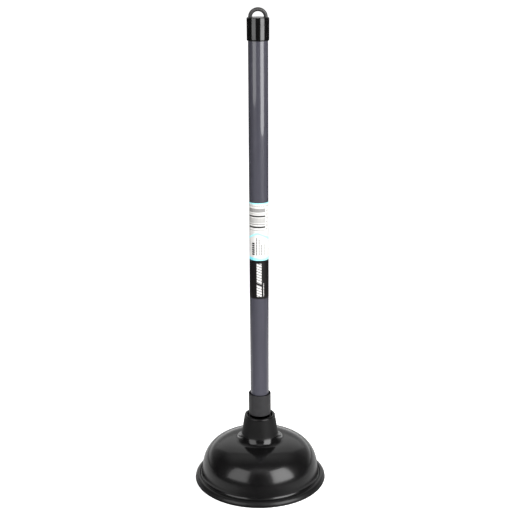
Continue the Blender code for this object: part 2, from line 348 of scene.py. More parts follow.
@dataclass(frozen=True)
class SleeveSkin(Finish):
    """Purple-grey plastic drawn on over the tube: glossy, with faint draw lines."""

    roughness: float = 0.32
    clouds: Ramp = (0.3, 0.7, 0.0, 1.0)
    draw_lines: Ramp = (0.35, 0.70, 0.0, 0.35)
    # painted shade: below these heights, inside the collar's mouth, the skin takes the shadow
    # colour
    painted_shade_heights: Ramp = (0.1108, 0.1119, 0.0, 1.0)
    shadow: Colour = (0.002, 0.002, 0.002)

    def dress(self, net: Net) -> Inputs:
        """Draw lines, a soft orange peel and a clear gloss, and painted shade: black without
        reflection at the foot inside the collar.
        """
        lines = net.noise(net.place(0.012), 0.9 * MM, 3.0)
        peel = net.noise(net.place(0.45), 2.4 * MM, 2.0)
        cloud = net.noise(net.place(0.3), 18 * MM, 3.0)
        colour = net.mix(net.spread(cloud, self.clouds), self.colour, self.tone(1.10))
        colour = net.mix(net.spread(lines, self.draw_lines), colour, self.tone(0.86))
        # painted shade at the foot inside the collar: black, metallic and without coat, so
        # nothing reflects there
        clear = net.spread(net.parts(net.place())[2], self.painted_shade_heights)
        return {
            "Base Color": net.mix(clear, self.shadow, colour),
            "Metallic": 1.0 - clear,
            "Roughness": self.roughness + (cloud - 0.5) * 0.08 + (lines - 0.5) * 0.06,
            "Specular IOR Level": 0.25,
            "Coat Weight": (0.88 + (cloud - 0.5) * 0.1) * clear,
            "Coat Roughness": 0.04,
            "Normal": net.bump(lines * 0.35 + peel * 0.65, 0.018 * MM, 0.5),
        }


@dataclass(frozen=True)
class GlossMoulding(Finish):
    """Glossy black plastic, dulled by wear where the plunger hangs, with a painted highlight of
    grey on the dull ring.
    """

    roughness: float = 0.13
    handling: Ramp = (0.56, 0.72, 0.0, 1.0)
    dull_heights: Ramp = (0.5519, 0.5525, 0.0, 1.0)
    # painted highlight: the ring's grey grows with height and toward the bar's front and back
    # faces, and fades at its sides
    highlight_up_ring: Ramp = (0.553, 0.561, 0.10, 1.0)
    highlight_across_bar: Ramp = (0.0009, 0.0020, 0.05, 1.0)
    painted_highlight_grey: Colour = (0.046, 0.0445, 0.044)

    def dress(self, net: Net) -> Inputs:
        """Slight shrinkage waves, a few handling marks, a dull ring from wear, and a painted
        highlight: grey, paling up the ring and across the middle of its bar.
        """
        place = net.place()
        _, y, z = net.parts(place)
        sink = net.noise(place, 7 * MM, 1.0)
        handled = net.spread(net.noise(net.place(0.4), 3 * MM, 5.0), self.handling)
        dull = net.spread(z, self.dull_heights)
        front = net.spread(abs(y), self.highlight_across_bar)
        # painted highlight: grey on the dull top and ring, paler higher up and on the bar's
        # faces, darker at its edges
        pale = dull * front * net.spread(z, self.highlight_up_ring)
        colour = net.mix(handled * 0.3, self.colour, self.tone(1.8))
        return {
            "Base Color": net.mix(pale, colour, self.painted_highlight_grey),
            "Roughness": self.roughness + handled * 0.12 + (sink - 0.5) * 0.05 + dull * 0.35,
            "Specular IOR Level": 0.6,
            "Normal": net.bump(sink, 0.03 * MM, 0.5),
        }


@dataclass(frozen=True)
class RolledSteel(Finish):
    """Bare rolled steel with lines along the tube."""

    roughness: float = 0.34
    temper: Colour = (0.50, 0.47, 0.44)

    def dress(self, net: Net) -> Inputs:
        """Rolling lines in the gloss and a faint brown temper."""
        lines = net.noise(net.place(0.01), 0.5 * MM, 4.0)
        return {
            "Base Color": net.mix(net.noise(net.place(), 14 * MM, 2.0), self.colour, self.temper),
            "Metallic": 1.0,
            "Roughness": self.roughness + (lines - 0.5) * 0.25,
            "Normal": net.bump(lines, 0.01 * MM, 0.4),
        }


Patch = tuple[float, float, float, float, float]  # left, right, low, high and strength


@dataclass(frozen=True)
class PrintRow:
    """Patches of print with one rhythm, in millimetres round the tube and up the label.

    Ink lies from start to stop in every pitch, up the label or round the tube,
    and the gaps keep gap_ink of it. A pitch of 0 leaves the patches whole.
    """

    patches: tuple[Patch, ...]
    pitch: float = 0.0
    start: float = 0.0
    stop: float = 0.0
    gap_ink: float = 0.0
    soft: float = 0.28
    round_tube: bool = False


BARS = (-13.6, 7.8)
COMB = (1.1, 0.20, 0.80, 0.45)
RULES = (
    (-3.30, -2.40, 52.5, 73.5, 0.90),
    (-0.25, 0.55, 52.5, 71.5, 0.75),
    (2.75, 3.60, 52.5, 65.5, 0.90),
    (6.00, 6.75, 52.5, 66.0, 0.65),
)
BLACK_PRINT = (
    PrintRow(((*BARS, 97.7, 99.5, 0.97), (*BARS, 84.9, 86.9, 0.97), (*BARS, 88.8, 89.6, 0.75))),
    PrintRow(((*BARS, 103.2, 107.6, 0.80), (*BARS, 90.6, 96.6, 0.48)), *COMB),
    PrintRow(((*BARS, 101.0, 101.7, 0.70), (*BARS, 81.9, 82.6, 0.70)), *COMB),
    PrintRow(RULES, 3.3, 0.0, 2.9, 0.25, 0.3),
    PrintRow(((-8.7, -5.3, 52.6, 67.8, 1.0),), 2.5, 0.35, 2.25),
    PrintRow(((9.3, 10.4, 82.0, 108.0, 0.75),), 4.3, 1.0, 2.2),
    PrintRow(((-30.0, 30.0, 109.8, 110.8, 0.45),), 2.2, 0.3, 1.9, 0.0, 0.3, True),
    PrintRow(((17.0, 31.0, 54.0, 104.0, 0.45), (-31.0, -18.5, 54.0, 70.0, 0.45)), 2.6, 0.4, 0.95),
)
WHITE_PRINT = (
    PrintRow(((4.9, 5.8, 3.0, 18.6, 0.85),), 1.9, 0.25, 1.6),
    PrintRow(((16.5, 31.5, 8.0, 9.0, 0.8),)),
)


@dataclass(frozen=True)
class PrintedFilm(Finish):
    """The label: white film with black, grey and cyan print, all of it generic.

    Places are read as across, the arc from the front in millimetres (right is
    more than zero), and up, the height over the label's lower edge.
    """

    bottom: float
    radius: float
    ink: Colour = (0.006, 0.0052, 0.005)
    pale_cyan: Colour = (0.33, 0.80, 0.84)
    deep_cyan: Colour = (0.17, 0.66, 0.78)
    soft: float = 0.28
    black_top: float = 46.3
    band_top: float = 49.4
    band_tint: Ramp = (-16.0, 4.0, 0.0, 1.0)
    wave: tuple[float, float, float] = (0.19, 0.9, 0.45)
    roof_ridge: tuple[float, float] = (-1.5, 79.4)
    roof_bend: float = 6.0
    roof_slope: float = 0.52
    roof_half: float = 1.1
    edge_line: float = 112.6
    lean: float = 0.42
    blocks: Patch = (-2.9, 2.8, 2.7, 42.6, 1.0)
    block_rhythm: tuple[float, float, float] = (3.25, 0.25, 2.75)
    block_gap: tuple[float, float] = (16.6, 18.6)

    def patch(self, net: Net, across: Value, up: Value, patch: Patch) -> Value:
        """A patch's strength inside it and 0 outside it."""
        left, right, low, high, strength = patch
        wide = net.band(across, left, right, self.soft)
        return wide * net.band(up, low, high, self.soft) * strength

    def printed(self, net: Net, across: Value, up: Value, rows: Sequence[PrintRow]) -> Number:
        """Ink of bars, combs of fine bars, ruled lines, dashes and tick marks.

        Args:
            net: The tree under construction.
            across, up: The place, in millimetres.
            rows: What is printed.

        Returns:
            How much ink lies at a place.
        """
        ink = 0.0
        for row in rows:
            rhythm = 1.0
            if row.pitch:
                run = (across if row.round_tube else up) % row.pitch
                inked = net.band(run, row.start, row.stop, row.soft)
                rhythm = inked * (1.0 - row.gap_ink) + row.gap_ink
            for patch in row.patches:
                ink = net.most(ink, self.patch(net, across, up, patch) * rhythm)
        return ink

    def slanted_blocks(self, net: Net, across: Value, up: Value) -> Value:
        """A row of slanted blocks in two groups."""
        leaning = up + across * self.lean
        pitch, start, stop = self.block_rhythm
        blocks = net.band(leaning % pitch, start, stop, self.soft)
        gap = net.band(leaning, *self.block_gap, self.soft)
        return self.patch(net, across, up, self.blocks) * (blocks * (1.0 - gap))

    def dress(self, net: Net) -> Inputs:
        """White film, a cyan edge, a cyan roof line, a cyan band and a black foot.

        The roof line lies at ridge - slope * sqrt((across - middle)^2 + bend),
        and the band's upper edge swings by a sine of the arc.
        """
        x, y, z = net.parts(net.place())
        across = net.maths(Maths.ARCTANGENT, x, 0.0 - y) * (self.radius / MM)
        up = (z - self.bottom) / MM
        dark = self.printed(net, across, up, BLACK_PRINT)
        middle, ridge = self.roof_ridge
        bend = ((across - middle) ** 2.0 + self.roof_bend) ** 0.5
        over_roof = up - (ridge - bend * self.roof_slope)
        turn, start, swing = self.wave
        swell = net.maths(Maths.SINE, across * turn + start) * swing
        light = self.printed(net, across, up, WHITE_PRINT)
        light = net.most(light, self.slanted_blocks(net, across, up))
        paper = net.mix(dark, self.colour, self.ink)
        roof = net.band(over_roof, -self.roof_half, self.roof_half, 0.5)
        paper = net.mix(roof, paper, self.pale_cyan)
        paper = net.mix(net.step(up, self.edge_line, 0.4), paper, self.pale_cyan)
        tint = net.mix(net.spread(across, self.band_tint), self.deep_cyan, self.pale_cyan)
        paper = net.mix(net.step(up + swell, self.band_top, 0.5), tint, paper)
        foot = net.mix(light, self.ink, self.colour)
        crease = net.noise(net.place(0.5), 4.5 * MM, 3.0)
        return {
            "Base Color": net.mix(net.step(up, self.black_top, 0.35), foot, paper),
            "Roughness": 0.30 + (crease - 0.5) * 0.12,
            "Specular IOR Level": 0.5,
            "Normal": net.bump(crease, 0.05 * MM, 0.5),
        }


# --- Profiles and skins ---


Place = tuple[float, float]  # radius from the axis, and height


def arc(centre: Place, radius: float, start: float, end: float, steps: int) -> np.ndarray:
    """A circle's arc: centre + radius * (cos a, sin a), a running in even steps.

    Args:
        centre: Its centre.
        radius: Its own radius.
        start, end: Angles in degrees; 0 points away from the axis and 90 up.
        steps: How many steps it has.

    Returns:
        Points of (radius, height).
    """
    angle = np.radians(np.linspace(start, end, steps + 1))
    out, up = radius * np.cos(angle), radius * np.sin(angle)
    return np.column_stack((centre[0] + out, centre[1] + up))


def evenly(outline: np.ndarray, count: int) -> np.ndarray:
    """Points at equal distances along an outline, read off its running length.

    Args:
        outline: Points of (radius, height).
        count: How many are wanted, both ends included.

    Returns:
        The spaced points.
    """
    reach = np.concatenate(([0.0], np.cumsum(np.hypot(*np.diff(outline, axis=0).T))))
    places = np.linspace(0.0, reach[-1], count)
    return np.column_stack([np.interp(places, reach, outline[:, axis]) for axis in range(2)])


def line(start: Place, end: Place, count: int) -> np.ndarray:
    """Evenly spaced points on a straight line, both ends included."""
    return evenly(np.array((start, end)), count)


def joined(*runs: np.ndarray | Sequence[Place]) -> np.ndarray:
    """Put runs of profile points end to end and drop points that repeat."""
    points = np.vstack([np.asarray(run, float) for run in runs])
    fresh = np.concatenate(([True], np.hypot(*np.diff(points, axis=0).T) > SAME_POINT))
    return points[fresh]


def turned(profile: np.ndarray, segments: int = ROUND_SEGMENTS) -> np.ndarray:
    """Carry a profile round Z: (r sin a, -r cos a, z), with a from 0 at the front.

    Args:
        profile: Points of (radius, height).
        segments: Steps in one turn.

    Returns:
        A grid of points [row, column, xyz].
    """
    angle = np.linspace(0.0, math.tau, segments, endpoint=False)
    radius, height = profile[:, :1], profile[:, 1:]
    level = np.broadcast_to(height, (len(profile), segments))
    return np.stack((radius * np.sin(angle), -radius * np.cos(angle), level), axis=-1)


def polar(grid: np.ndarray) -> tuple[np.ndarray, np.ndarray, np.ndarray]:
    """Radius, angle from +X and height of a grid's points."""
    x, y, z = np.moveaxis(grid, -1, 0)
    return np.hypot(x, y), np.arctan2(y, x), z


def swollen(grid: np.ndarray, growth: np.ndarray) -> np.ndarray:
    """Move a grid's points away from the axis, each by its own growth in radius."""
    x, y, z = np.moveaxis(grid, -1, 0)
    scale = 1.0 + growth / np.maximum(np.hypot(x, y), SAME_POINT)
    return np.stack((x * scale, y * scale, z), axis=-1)


def capped(grid: np.ndarray) -> np.ndarray:
    """Close a pipe's grid with a point in the middle of each end."""
    columns = grid.shape[1]
    ends = [np.repeat(grid[row].mean(axis=0)[None, None], columns, axis=1) for row in (0, -1)]
    return np.concatenate((ends[0], grid, ends[1]))


def smooth(mesh: bpy.types.Mesh) -> None:
    """Shade a mesh smooth, but for its sharp edges."""
    mesh.shade_smooth()
    mesh.set_sharp_from_angle(angle=math.radians(SHARP_DEGREES))


def linked(name: str, data: bpy.types.ID) -> Object:
    """Put a mesh, a lamp or a camera in the scene as an object."""
    made = bpy.data.objects.new(name, data)
    bpy.context.scene.collection.objects.link(made)
    return made


@dataclass
class Skin:
    """A closed surface over a grid of points whose columns run round a ring."""

    name: str
    grid: np.ndarray
    ends_meet: bool = False
    marks: dict[str, np.ndarray] = field(default_factory=dict)

    def corners(self, index: np.ndarray) -> np.ndarray:
        """The four corner numbers of every face, row by row."""
        low, high = index, np.roll(index, -1, axis=0)
        if not self.ends_meet:
            low, high = low[:-1], high[:-1]
        quads = (low, np.roll(low, -1, axis=1), np.roll(high, -1, axis=1), high)
        return np.stack(quads, axis=-1).reshape(-1, 4)

    def build(self) -> Object:
        """Make the mesh.

        A row whose points all fall together becomes one vertex. The volume,
        the sum of a . (b x c) / 6 over the triangles, tells if faces point out.

        Returns:
            The new object.
        """
        pole = np.ptp(self.grid, axis=1).max(axis=1) < SAME_POINT
        kept = ~pole[:, None] | (np.arange(self.grid.shape[1]) == 0)
        points = self.grid[kept]
        quads = self.corners(np.cumsum(kept).reshape(kept.shape) - 1)
        a, b, c, d = (points[quads[:, corner]] for corner in range(4))
        if (a * (np.cross(b, c) + np.cross(c, d))).sum() < 0.0:
            quads = quads[:, ::-1]
        mesh = bpy.data.meshes.new(self.name)
        mesh.from_pydata(points, [], [tuple(dict.fromkeys(quad)) for quad in quads.tolist()])
        for name, values in self.marks.items():
            kind, key = ("FLOAT_VECTOR", "vector") if values.ndim == 3 else ("FLOAT", "value")
            attribute = mesh.attributes.new(name, kind, "POINT")
            attribute.data.foreach_set(key, values[kept].astype(np.float32).ravel())
        smooth(mesh)
        return linked(self.name, mesh)


def report(piece: Object, finish: Finish) -> None:
    """Give a piece its finish, and log its size.

    Args:
        piece: The finished mesh object.
        finish: What it is made of.
    """
    piece.data.materials.append(finish.material())
    size = np.ptp(np.array(piece.bound_box) / MM, axis=0)
    faces = len(piece.data.polygons)
    LOG.info("%s: %d faces, %.1f x %.1f x %.1f mm, %s", piece.name, faces, *size, finish.name)


# --- The plunger ---


@dataclass(frozen=True)
class CoarseThread:
    """The rounded right-hand thread that the stud and the rubber socket share."""

    root: float = 0.0083
    depth: float = 0.0012
    pitch: float = 0.0050
    bottom: float = 0.0555
    top: float = 0.0763
    rows: int = 96

    def wall(self, radius: float) -> np.ndarray:
        """The plain wall that carries the thread, bottom to top."""
        heights = np.linspace(self.bottom, self.top, self.rows)
        return np.column_stack((np.full(self.rows, radius), heights))

    def cut(self, grid: np.ndarray, wall: float) -> np.ndarray:
        """Push the points of a plain wall out to the thread.

        The swell is depth * (1 - cos(2 pi (z / pitch - angle / 2 pi))) / 2,
        and it fades over half a pitch at both ends.

        Args:
            grid: Points [row, column, xyz].
            wall: The plain wall's radius.

        Returns:
            The grid with its thread.
        """
        radius, angle, height = polar(grid)
        from_end = np.minimum(height - self.bottom, self.top - height)
        fade = np.clip(from_end / (self.pitch / 2), 0.0, 1.0)
        phase = height / self.pitch - angle / math.tau
        swell = self.depth * fade * (0.5 - 0.5 * np.cos(math.tau * phase))
        return swollen(grid, np.where(np.abs(radius - wall) < ON_WALL, swell, 0.0))


@dataclass
class RubberCup:
    """Flange, bell, tapered neck and blind threaded socket, moulded in one piece."""

    finish: Finish
    thread: CoarseThread
    dome_radius: float = 0.0704
    dome_base: float = 0.0095
    dome_rise: float = 0.0425
    fullness: float = 2.33
    flatness: float = 3.85
    wall: float = 0.0043
    crown_wall: float = 0.0045
    rim_radius: float = 0.0791
    rim_edge: float = 0.0016
    mouth_rounding: float = 0.0010
    flare_top: float = 0.0118
    bead_radius: float = 0.0725
    bead_height: float = 0.0067
    bead_round: float = 0.00035
    groove_width: float = 0.0012
    groove_depth: float = 0.0008
    flange_top: float = 0.0072
    neck_top: float = 0.0838
    neck_radius: float = 0.0184
    neck_taper: float = 0.150
    fillet_width: float = 0.0095
    fillet_height: float = 0.0140
    hole_radius: float = 0.01505
    hole_depth: float = 0.0060
    hole_chamfer: float = 0.0004
    socket_room: float = 0.0003
    socket_floor: float = 0.0530
    fold_top: float = 0.0495
    wander: tuple[tuple[float, int, float], ...] = ((0.00014, 3, 0.7), (0.00007, 7, 2.0))
    flash_height: float = 0.00010
    flash_width: float = 0.00014
    satin_start: float = 0.0575
    satin_fade: float = 0.003
    lip_depth: float = 0.0035
    lip_fade: float = 0.002
    lip_gloss: float = 0.55
    inside_satin: float = 0.75
    flange_satin: float = 0.5

    @property
    def lip(self) -> float:
        """Radius of the neck's round lip."""
        return (self.neck_radius - self.hole_radius) / 2

    def bell(self, foot: float, rise: float) -> np.ndarray:
        """A bell's superellipse.

        Its radius is foot * cos(t)^(2 / flatness) and its height is
        base + rise * sin(t)^(2 / fullness).
        """
        turn = np.linspace(0.0, math.pi / 2, 1600)
        radius = foot * np.clip(np.cos(turn), 0.0, 1.0) ** (2.0 / self.flatness)
        height = self.dome_base + rise * np.sin(turn) ** (2.0 / self.fullness)
        return np.column_stack((radius, height))

    def outside(self) -> np.ndarray:
        """The bell's outside up to the neck's lip.

        The fillet is a quarter of an ellipse. Heights are squeezed until it is
        round, a ball of its width is rolled down the neck's cone, and the last
        height before the ball would cut into the bell gives the fillet.

        Returns:
            Points of (radius, height), foot to lip.
        """
        squeeze = np.array((1.0, self.fillet_width / self.fillet_height))
        bell = self.bell(self.dome_radius, self.dome_rise) * squeeze
        lean = math.atan(self.neck_taper / squeeze[1])
        lip_foot = (self.neck_radius, self.neck_top - self.lip)
        heights = np.linspace(self.dome_base, self.neck_top, 3000)
        cone = lip_foot[0] + self.neck_taper * (lip_foot[1] - heights)
        off_cone = cone + self.fillet_width / math.cos(lean)
        centres = np.column_stack((off_cone, heights * squeeze[1]))
        gaps = np.hypot(centres[:, :1] - bell[:, 0], centres[:, 1:] - bell[:, 1])
        clear = int(np.flatnonzero(gaps.min(axis=1) < self.fillet_width)[-1]) + 1
        centre, touch = centres[clear], bell[gaps[clear].argmin()]
        start = math.degrees(math.atan2(touch[1] - centre[1], touch[0] - centre[0])) % 360
        fillet = arc(tuple(centre), self.fillet_width, start, 180 + math.degrees(lean), 48)
        round_outline = joined(bell[bell[:, 0] > touch[0]], fillet, [lip_foot * squeeze])
        return evenly(self.flared(round_outline / squeeze), 170)

    def flared(self, outline: np.ndarray) -> np.ndarray:
        """Draw the bell down to its bead and swing its foot out in a cove.

        With s the depth below the flare's top as a share of the flare, the
        radius grows by width * (1 - sqrt(1 - s^2)).

        Args:
            outline: Points of (radius, height) from the bell's base up.

        Returns:
            The outside from the bead up.
        """
        drop = self.flare_top - self.bead_height
        heights = self.flare_top - drop * np.cos(np.linspace(0.0, math.pi / 2, 240))
        heights = heights[heights < self.dome_base]
        foot = np.column_stack((np.full(len(heights), self.dome_radius), heights))
        outline = np.vstack((foot, outline))
        sweep = np.clip((self.flare_top - outline[:, 1]) / drop, 0.0, 1.0)
        outline[:, 0] += (self.bead_radius - self.dome_radius) * (1.0 - np.sqrt(1.0 - sweep**2))
        return outline

    def profile(self) -> np.ndarray:
        """The whole closed outline, from the bell's apex inside to the socket's floor.

        The flange swells from its edge up to its crest as a quarter of an
        ellipse: (crest + width * cos t, edge + height * sin t).
        """
        mouth = self.dome_radius - self.wall
        ring = mouth + self.mouth_rounding
        hole_floor = self.neck_top - self.hole_depth
        socket = self.thread.root + self.socket_room
        edge = self.rim_radius - self.rim_edge
        turn = np.linspace(0.0, math.pi / 2, 34)
        crest = self.bead_radius + self.groove_width
        across = crest + (self.rim_radius - crest) * np.cos(turn)
        up = self.rim_edge + (self.flange_top - self.rim_edge) * np.sin(turn)
        bead = (self.bead_radius, self.bead_height - self.bead_round)
        return joined(
            evenly(self.bell(mouth, self.dome_rise - self.crown_wall)[::-1], 70),
            arc((ring, self.mouth_rounding), self.mouth_rounding, 180, 270, 6),
            line((ring, 0.0), (edge, 0.0), 5),
            arc((edge, self.rim_edge), self.rim_edge, -90, 0, 12),
            np.column_stack((across, up)),
            [(self.bead_radius + self.groove_width / 2, self.bead_height - self.groove_depth)],
            arc(bead, self.bead_round, -60, 80, 10),
            self.outside(),
            arc((self.hole_radius + self.lip, self.neck_top - self.lip), self.lip, 0, 180, 22),
            [(self.hole_radius, hole_floor + self.hole_chamfer)],
            [(self.hole_radius - self.hole_chamfer, hole_floor), (socket, hole_floor)],
            self.thread.wall(socket)[::-1],
            [(socket, self.socket_floor), (0.0, self.socket_floor)],
        )

    def rippled(self, grid: np.ndarray) -> np.ndarray:
        """Let the flange's edge wander as soft rubber does, and leave a flash line on it.

        The radius grows by sines of whole multiples of the angle, only out
        past the bead, and by a fine ridge round the flange's widest line.

        Args:
            grid: Points [row, column, xyz].

        Returns:
            The grid with its ripples.
        """
        radius, angle, height = polar(grid)
        out = (radius - self.bead_radius) / (self.rim_radius - self.bead_radius)
        out = np.clip(out, 0.0, 1.0)
        wander = sum(size * np.sin(count * angle + start) for size, count, start in self.wander)
        ridge = np.exp(-(((height - self.rim_edge) / self.flash_width) ** 2)) * (out > 0.9)
        return swollen(grid, out * wander + self.flash_height * ridge)

    def satin(self, profile: np.ndarray) -> np.ndarray:
        """How dull each row is: most on the neck, less on the inside and the flange."""
        radius, height = profile.T
        row = np.arange(len(profile))
        crest = int(np.argmax(radius))
        neck = np.clip((height - self.satin_start) / self.satin_fade, 0.0, 1.0) * (row > crest)
        lip = np.clip((height - (self.neck_top - self.lip_depth)) / self.lip_fade, 0.0, 1.0)
        inside = self.inside_satin * (row < crest)
        flange = self.flange_satin * (height < self.bead_height) * (row >= crest)
        return np.maximum(np.maximum(neck * (1.0 - self.lip_gloss * lip), inside), flange)

    def build(self) -> None:
        """Make the cup."""
        profile = self.profile()
        grid = self.thread.cut(turned(profile), self.thread.root + self.socket_room)
        grid = self.rippled(grid)
        satin = np.broadcast_to(self.satin(profile)[:, None], grid.shape[:2])
        marks = {"rest": grid, "satin": satin}
        piece = Skin("rubber_cup_moulding", grid, marks=marks).build()
        report(piece, self.finish)
        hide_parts("rubber_cup")
        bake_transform(piece)


@dataclass
class ThreadedAdapter:
    """Satin collar over the end of the tube, with the stud that the cup screws on."""

    finish: Finish
    thread: CoarseThread
    collar_radius: float = 0.01325
    bottom: float = 0.0781
    top: float = 0.1115
    edge: float = 0.0006
    bore: float = 0.0113
    seat: float = 0.0821
    stud_bottom: float = 0.0540
    tip: float = 0.0012
    lead_width: float = 0.0014
    lead_depth: float = 0.0020
    undercut: float = 0.0118
    undercut_bottom: float = 0.0820
    undercut_top: float = 0.0853
    lip: float = 0.0004

    def profile(self) -> np.ndarray:
        """The outline, from the stud's tip on the axis up and over the collar to its seat."""
        tip = (self.thread.root - self.tip, self.stud_bottom + self.tip)
        collar, lip = self.collar_radius, self.lip
        outer, foot = collar - self.edge, self.undercut_top + self.edge
        return joined(
            [(0.0, self.stud_bottom)],
            arc(tip, self.tip, -90, 0, 6),
            self.thread.wall(self.thread.root),
            [(self.thread.root, self.bottom)],
            arc((outer, self.bottom + self.edge), self.edge, -90, 0, 6),
            [(collar, self.undercut_bottom), (self.undercut, self.undercut_bottom)],
            [(self.undercut, self.undercut_top)],
            arc((outer, foot), self.edge, -90, 0, 6),
            line((collar, foot), (collar, self.top - lip), 12),
            arc((collar - lip, self.top - lip), lip, 0, 90, 6),
            [(self.bore + self.lead_width, self.top), (self.bore, self.top - self.lead_depth)],
            [(self.bore, self.seat), (0.0, self.seat)],
        )

    def build(self) -> None:
        """Make the adapter."""
        grid = self.thread.cut(turned(self.profile()), self.thread.root)
        piece = Skin("adapter_moulding", grid).build()
        report(piece, self.finish)
        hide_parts("threaded_adapter")
        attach(piece, "handle")


@dataclass
class TubeSleeve:
    """The plastic skin of the handle."""

    finish: Finish
    radius: float = 0.0110
    wall: float = 0.0005
    bottom: float = 0.0824
    top: float = 0.5489
    edge: float = 0.00012
    drift: float = 0.000012
    drift_waves: float = 61.0
    oval: float = 0.000008
    oval_waves: float = 143.0

    def build(self) -> None:
        """Make the skin: a pipe whose outside has a drawn tube's slight thick and thin."""
        inner, outer = self.radius - self.wall, self.radius
        bottom, top = self.bottom, self.top
        profile = joined(
            [(outer - self.edge, bottom)],
            line((outer, bottom + self.edge), (outer, top - self.edge), 120),
            [(outer - self.edge, top)],
            line((inner, top), (inner, bottom), 12),
        )
        grid = turned(profile, HANDLE_SEGMENTS)
        radius, angle, height = polar(grid)
        drift = self.drift * np.sin(height * self.drift_waves + 0.4)
        drift = drift + self.oval * np.sin(height * self.oval_waves + 2 * angle)
        grid = swollen(grid, np.where(radius > outer - self.edge / 2, drift, 0.0))
        piece = Skin("sleeve_skin", grid, ends_meet=True).build()
        report(piece, self.finish)
        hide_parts("tube_sleeve")
        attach(piece, "handle")


@dataclass
class LabelWrap:
    """Printed film wrapped once round the sleeve, its end stuck over its start."""

    finish: PrintedFilm
    top: float = 0.3476
    film: float = 0.00007
    lift: float = 0.00006
    lap_gap: float = 0.00002
    overlap: float = 0.0058
    sleeve_radius: float = 0.0110
    rows: int = 24

    def build(self) -> None:
        """Make the film as a thin sheet carried along an open spiral.

        The sheet starts at the back, goes once round and on over its own
        start. Its inner radius climbs by one film's thickness over the
        overlap, by a smooth step 3t^2 - 2t^3.
        """
        lap = self.overlap / self.sleeve_radius
        angle = np.linspace(-lap / 2, math.tau + lap / 2, 260)
        share = np.clip((angle - (math.tau - 1.2 * lap)) / (0.5 * lap), 0.0, 1.0)
        climb = (self.film + self.lap_gap) * share * share * (3 - 2 * share)
        heights = np.linspace(self.finish.bottom, self.top, self.rows)
        thick = np.repeat((self.film, 0.0), self.rows)
        ring = (self.sleeve_radius + self.lift + climb)[:, None] + thick
        level = np.broadcast_to(np.concatenate((heights, heights[::-1])), ring.shape)
        x, y = -ring * np.sin(angle)[:, None], ring * np.cos(angle)[:, None]
        piece = Skin("label_film", capped(np.stack((x, y, level), axis=-1))).build()
        report(piece, self.finish)
        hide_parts("label_wrap")
        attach(piece, "handle")


@dataclass
class HangerCap:
    """Push-on end cap with a half-ring to hang the plunger by."""

    finish: Finish
    radius: float = 0.0124
    draft: float = 0.0001
    bore: float = 0.0113
    bottom: float = 0.5274
    seat: float = 0.5492
    top: float = 0.5523
    rounding: float = 0.0008
    lip: float = 0.0011
    ring_radius: float = 0.00845
    ring_thickness: float = 0.0043
    ring_root: float = 0.0013
    ring_fillet: float = 0.0007

    def skirt(self) -> Object:
        """The cap without its ring: a turned cup, open below."""
        foot = (self.radius - self.draft, self.bottom + self.lip)
        crown = (self.radius - self.rounding, self.top - self.rounding)
        profile = joined(
            [(0.0, self.seat), (self.bore, self.seat), (self.bore, self.bottom)],
            arc((foot[0] - self.lip, foot[1]), self.lip, -90, 0, 5),
            line(foot, (self.radius, crown[1]), 20),
            arc(crown, self.rounding, 0, 90, 10),
            line((crown[0], self.top), (0.0, self.top), 14),
        )
        return Skin("cap_moulding", turned(profile, HANDLE_SEGMENTS)).build()

    def ring(self) -> Object:
        """The half-ring: a circle carried up, over and down a half-circle.

        Near the cap's top the circle widens by f - sqrt(f^2 - (f - h)^2), a
        fillet of radius f at height h, and its feet end inside the end wall.

        Returns:
            The ring's object.
        """
        sides, steps, rise_steps = 48, 72, 12
        lifted, reach = self.ring_fillet, self.ring_radius
        rise = np.linspace(-self.ring_root, lifted, rise_steps)
        sweep = np.linspace(0.0, math.pi, steps)
        right = np.column_stack((np.full(rise_steps, reach), rise))
        up = lifted + (reach - lifted) * np.sin(sweep)
        half = np.column_stack((reach * np.cos(sweep), up))
        path = joined(right, half, right[::-1] * (-1.0, 1.0))
        along = np.gradient(path, axis=0)
        along /= np.hypot(*along.T)[:, None]
        out = np.column_stack((along[:, 1], -along[:, 0]))
        height = np.clip(path[:, 1], 0.0, lifted)
        flare = lifted - np.sqrt(lifted**2 - (lifted - height) ** 2)
        thick = (self.ring_thickness / 2 + flare)[:, None]
        turn = np.linspace(0.0, math.tau, sides, endpoint=False)
        aside = thick * np.cos(turn)
        x = path[:, :1] + out[:, :1] * aside
        y = thick * np.sin(turn)
        z = self.top + path[:, 1:] + out[:, 1:] * aside
        return Skin("cap_ring", capped(np.stack((x, y, z), axis=-1))).build()

    def build(self) -> None:
        """Make the cap and melt its ring on to it."""
        piece, ring = self.skirt(), self.ring()
        union = piece.modifiers.new("Moulded in one", "BOOLEAN")
        union.operation, union.solver, union.object = "UNION", "EXACT", ring
        bpy.context.view_layer.update()
        shaped = piece.evaluated_get(bpy.context.evaluated_depsgraph_get())
        melted = bpy.data.meshes.new_from_object(shaped)
        piece.modifiers.clear()
        piece.data = melted
        bpy.data.objects.remove(ring, do_unlink=True)
        melted.name = piece.name
        smooth(melted)
        report(piece, self.finish)
        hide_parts("hanger_cap")
        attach(piece, "handle")


# --- The studio ---


@dataclass(frozen=True)
class Softbox:
    """A soft upright lamp; azimuth 0 is the camera's side, and gloss may show it or not."""

    name: str
    azimuth: float
    distance: float
    bottom: float
    height: float
    width: float
    radiance: float
    in_gloss: bool = True

    def build(self) -> None:
        """Make the lamp; its power is radiance * pi * area."""
        light = bpy.data.lights.new(self.name, "AREA")
        light.shape = "RECTANGLE"
        light.size, light.size_y = self.width, self.height
        light.energy = self.radiance * math.pi * self.width * self.height
        lamp = linked(self.name, light)
        angle = math.radians(self.azimuth)
        place = Vector((math.sin(angle), -math.cos(angle), 0.0)) * self.distance
        lamp.location = place + Vector((0.0, 0.0, self.bottom + self.height / 2))
        lamp.rotation_euler = place.to_track_quat("Z", "Y").to_euler()
        lamp.visible_camera = False
        lamp.visible_glossy = self.in_gloss


